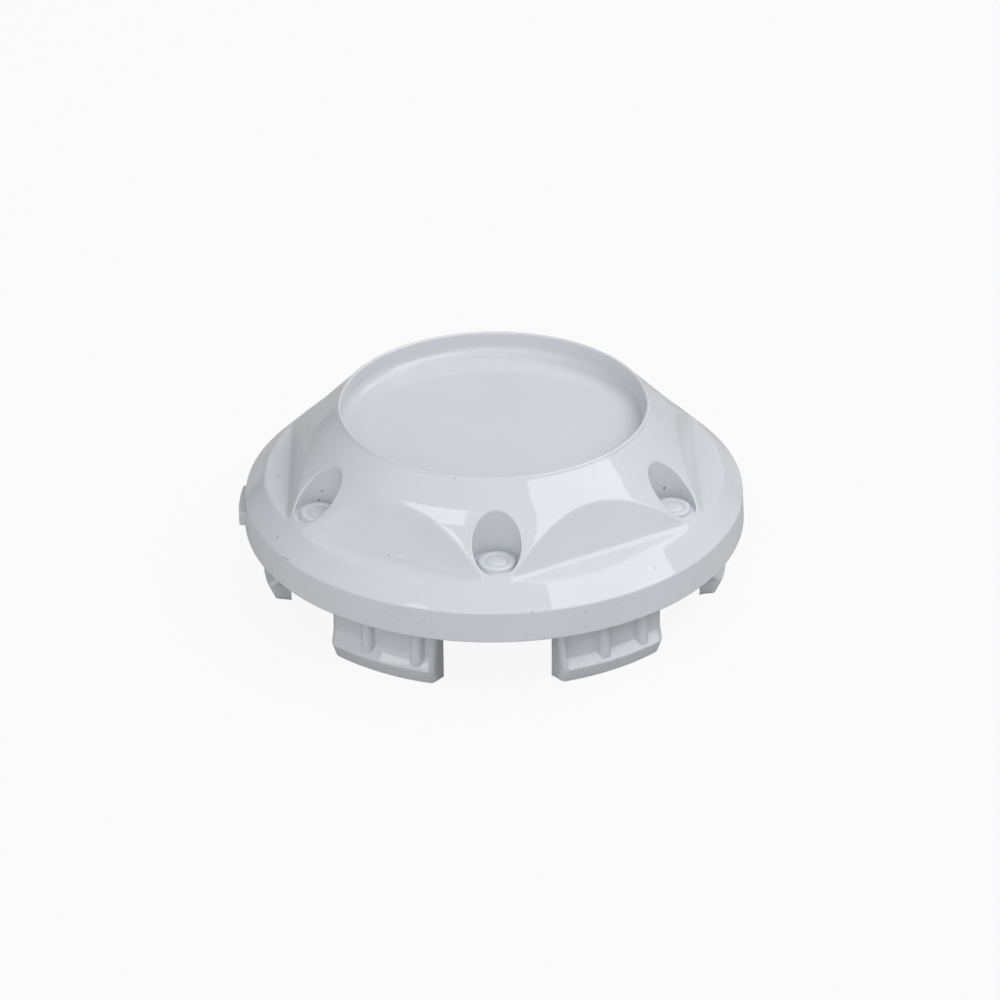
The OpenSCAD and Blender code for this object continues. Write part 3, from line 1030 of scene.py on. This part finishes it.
def world():
    """Soft light from a few wide sides, seen by the camera as white behind the cap."""
    made = bpy.data.worlds.new("studio")
    made.use_nodes = True
    tree = made.node_tree
    direction = tree.nodes.new("ShaderNodeTexCoord").outputs["Generated"]
    level = 0.0
    for side, tightness, strength in SKY_GLOWS:
        facing = vector_maths(tree, "DOT_PRODUCT", direction, toward(*side))
        level = facing.most(0).maths("POWER", tightness) * strength + level
    light = tree.nodes["Background"]
    light.inputs["Color"].default_value = (1, 1, 1, 1)
    tree.links.new(level.socket, light.inputs["Strength"])
    white = add_node(tree, "ShaderNodeBackground", Color=(1, 1, 1, 1))
    seen = tree.nodes.new("ShaderNodeLightPath").outputs["Is Camera Ray"]
    mixed = add_node(tree, "ShaderNodeMixShader", Fac=seen)
    tree.links.new(light.outputs[0], mixed.inputs[1])
    tree.links.new(white.outputs[0], mixed.inputs[2])
    tree.links.new(mixed.outputs[0], tree.nodes["World Output"].inputs["Surface"])
    bpy.context.scene.world = made


def toward(turn, lift):
    """Direction from the cap: turned clockwise from the front, and lifted, both in degrees."""
    turn, lift = math.radians(turn), math.radians(lift)
    return Vector((math.sin(turn) * math.cos(lift), -math.cos(turn) * math.cos(lift), math.sin(lift)))


def soft_box(name, left, right, height, glow, gap):
    """A rectangular lamp that spans two directions at a gap in metres, as bright as its glow."""
    left, right = toward(*left), toward(*right)
    middle = (left + right).normalized()
    across = (right - left).normalized()
    lamp = bpy.data.lights.new(name, "AREA")
    lamp.shape = "RECTANGLE"
    lamp.size, lamp.size_y = 2 * gap * math.tan(left.angle(right) / 2), height * gap
    lamp.energy = glow * math.pi * lamp.size * lamp.size_y
    obj = bpy.data.objects.new(name, lamp)
    turned = Matrix((across, middle.cross(across), middle)).transposed()
    obj.rotation_euler = turned.to_euler()
    obj.location = Vector((0, 0, LAMPS_AIM_H)) + middle * gap
    bpy.context.scene.collection.objects.link(obj)


def camera():
    """The photograph's view: from the front, looking down at the middle of the rim's plane."""
    data = bpy.data.cameras.new("camera")
    data.sensor_width = CAMERA_SENSOR
    data.lens = CAMERA_LENS
    data.shift_x, data.shift_y = CAMERA_SHIFT
    obj = bpy.data.objects.new("camera", data)
    away = toward(CAMERA_TURN, CAMERA_LIFT)
    obj.location = Vector((0, 0, LIFT * MM)) + away * CAMERA_GAP
    turned = away.to_track_quat("Z", "Y").to_matrix().to_4x4() @ Matrix.Rotation(CAMERA_ROLL, 4, "Z")
    obj.rotation_euler = turned.to_euler()
    bpy.context.scene.collection.objects.link(obj)
    bpy.context.scene.camera = obj


def lights():
    """The sky and the lamps."""
    world()
    for name, lamp in LAMPS.items():
        soft_box(name, *lamp)


def main():
    """Sets up view, floor, light and camera, and dresses the solid with its three pieces."""
    bpy.context.scene.view_settings.view_transform = "Standard"
    camera()
    floor()
    lights()
    paint = painted_plastic()
    tree = repeat_tree()
    pieces = [piece("shell", shell_sector(), tree, COUNT, FRONT + HALF, paint),
              piece("legs", leg_pair(), tree, COUNT // 2, FRONT, paint),
              piece("lug", lug(), tree, 1, 0, paint)]
    for obj in pieces:
        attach(obj, "root")
        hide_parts("center_cap")


main()
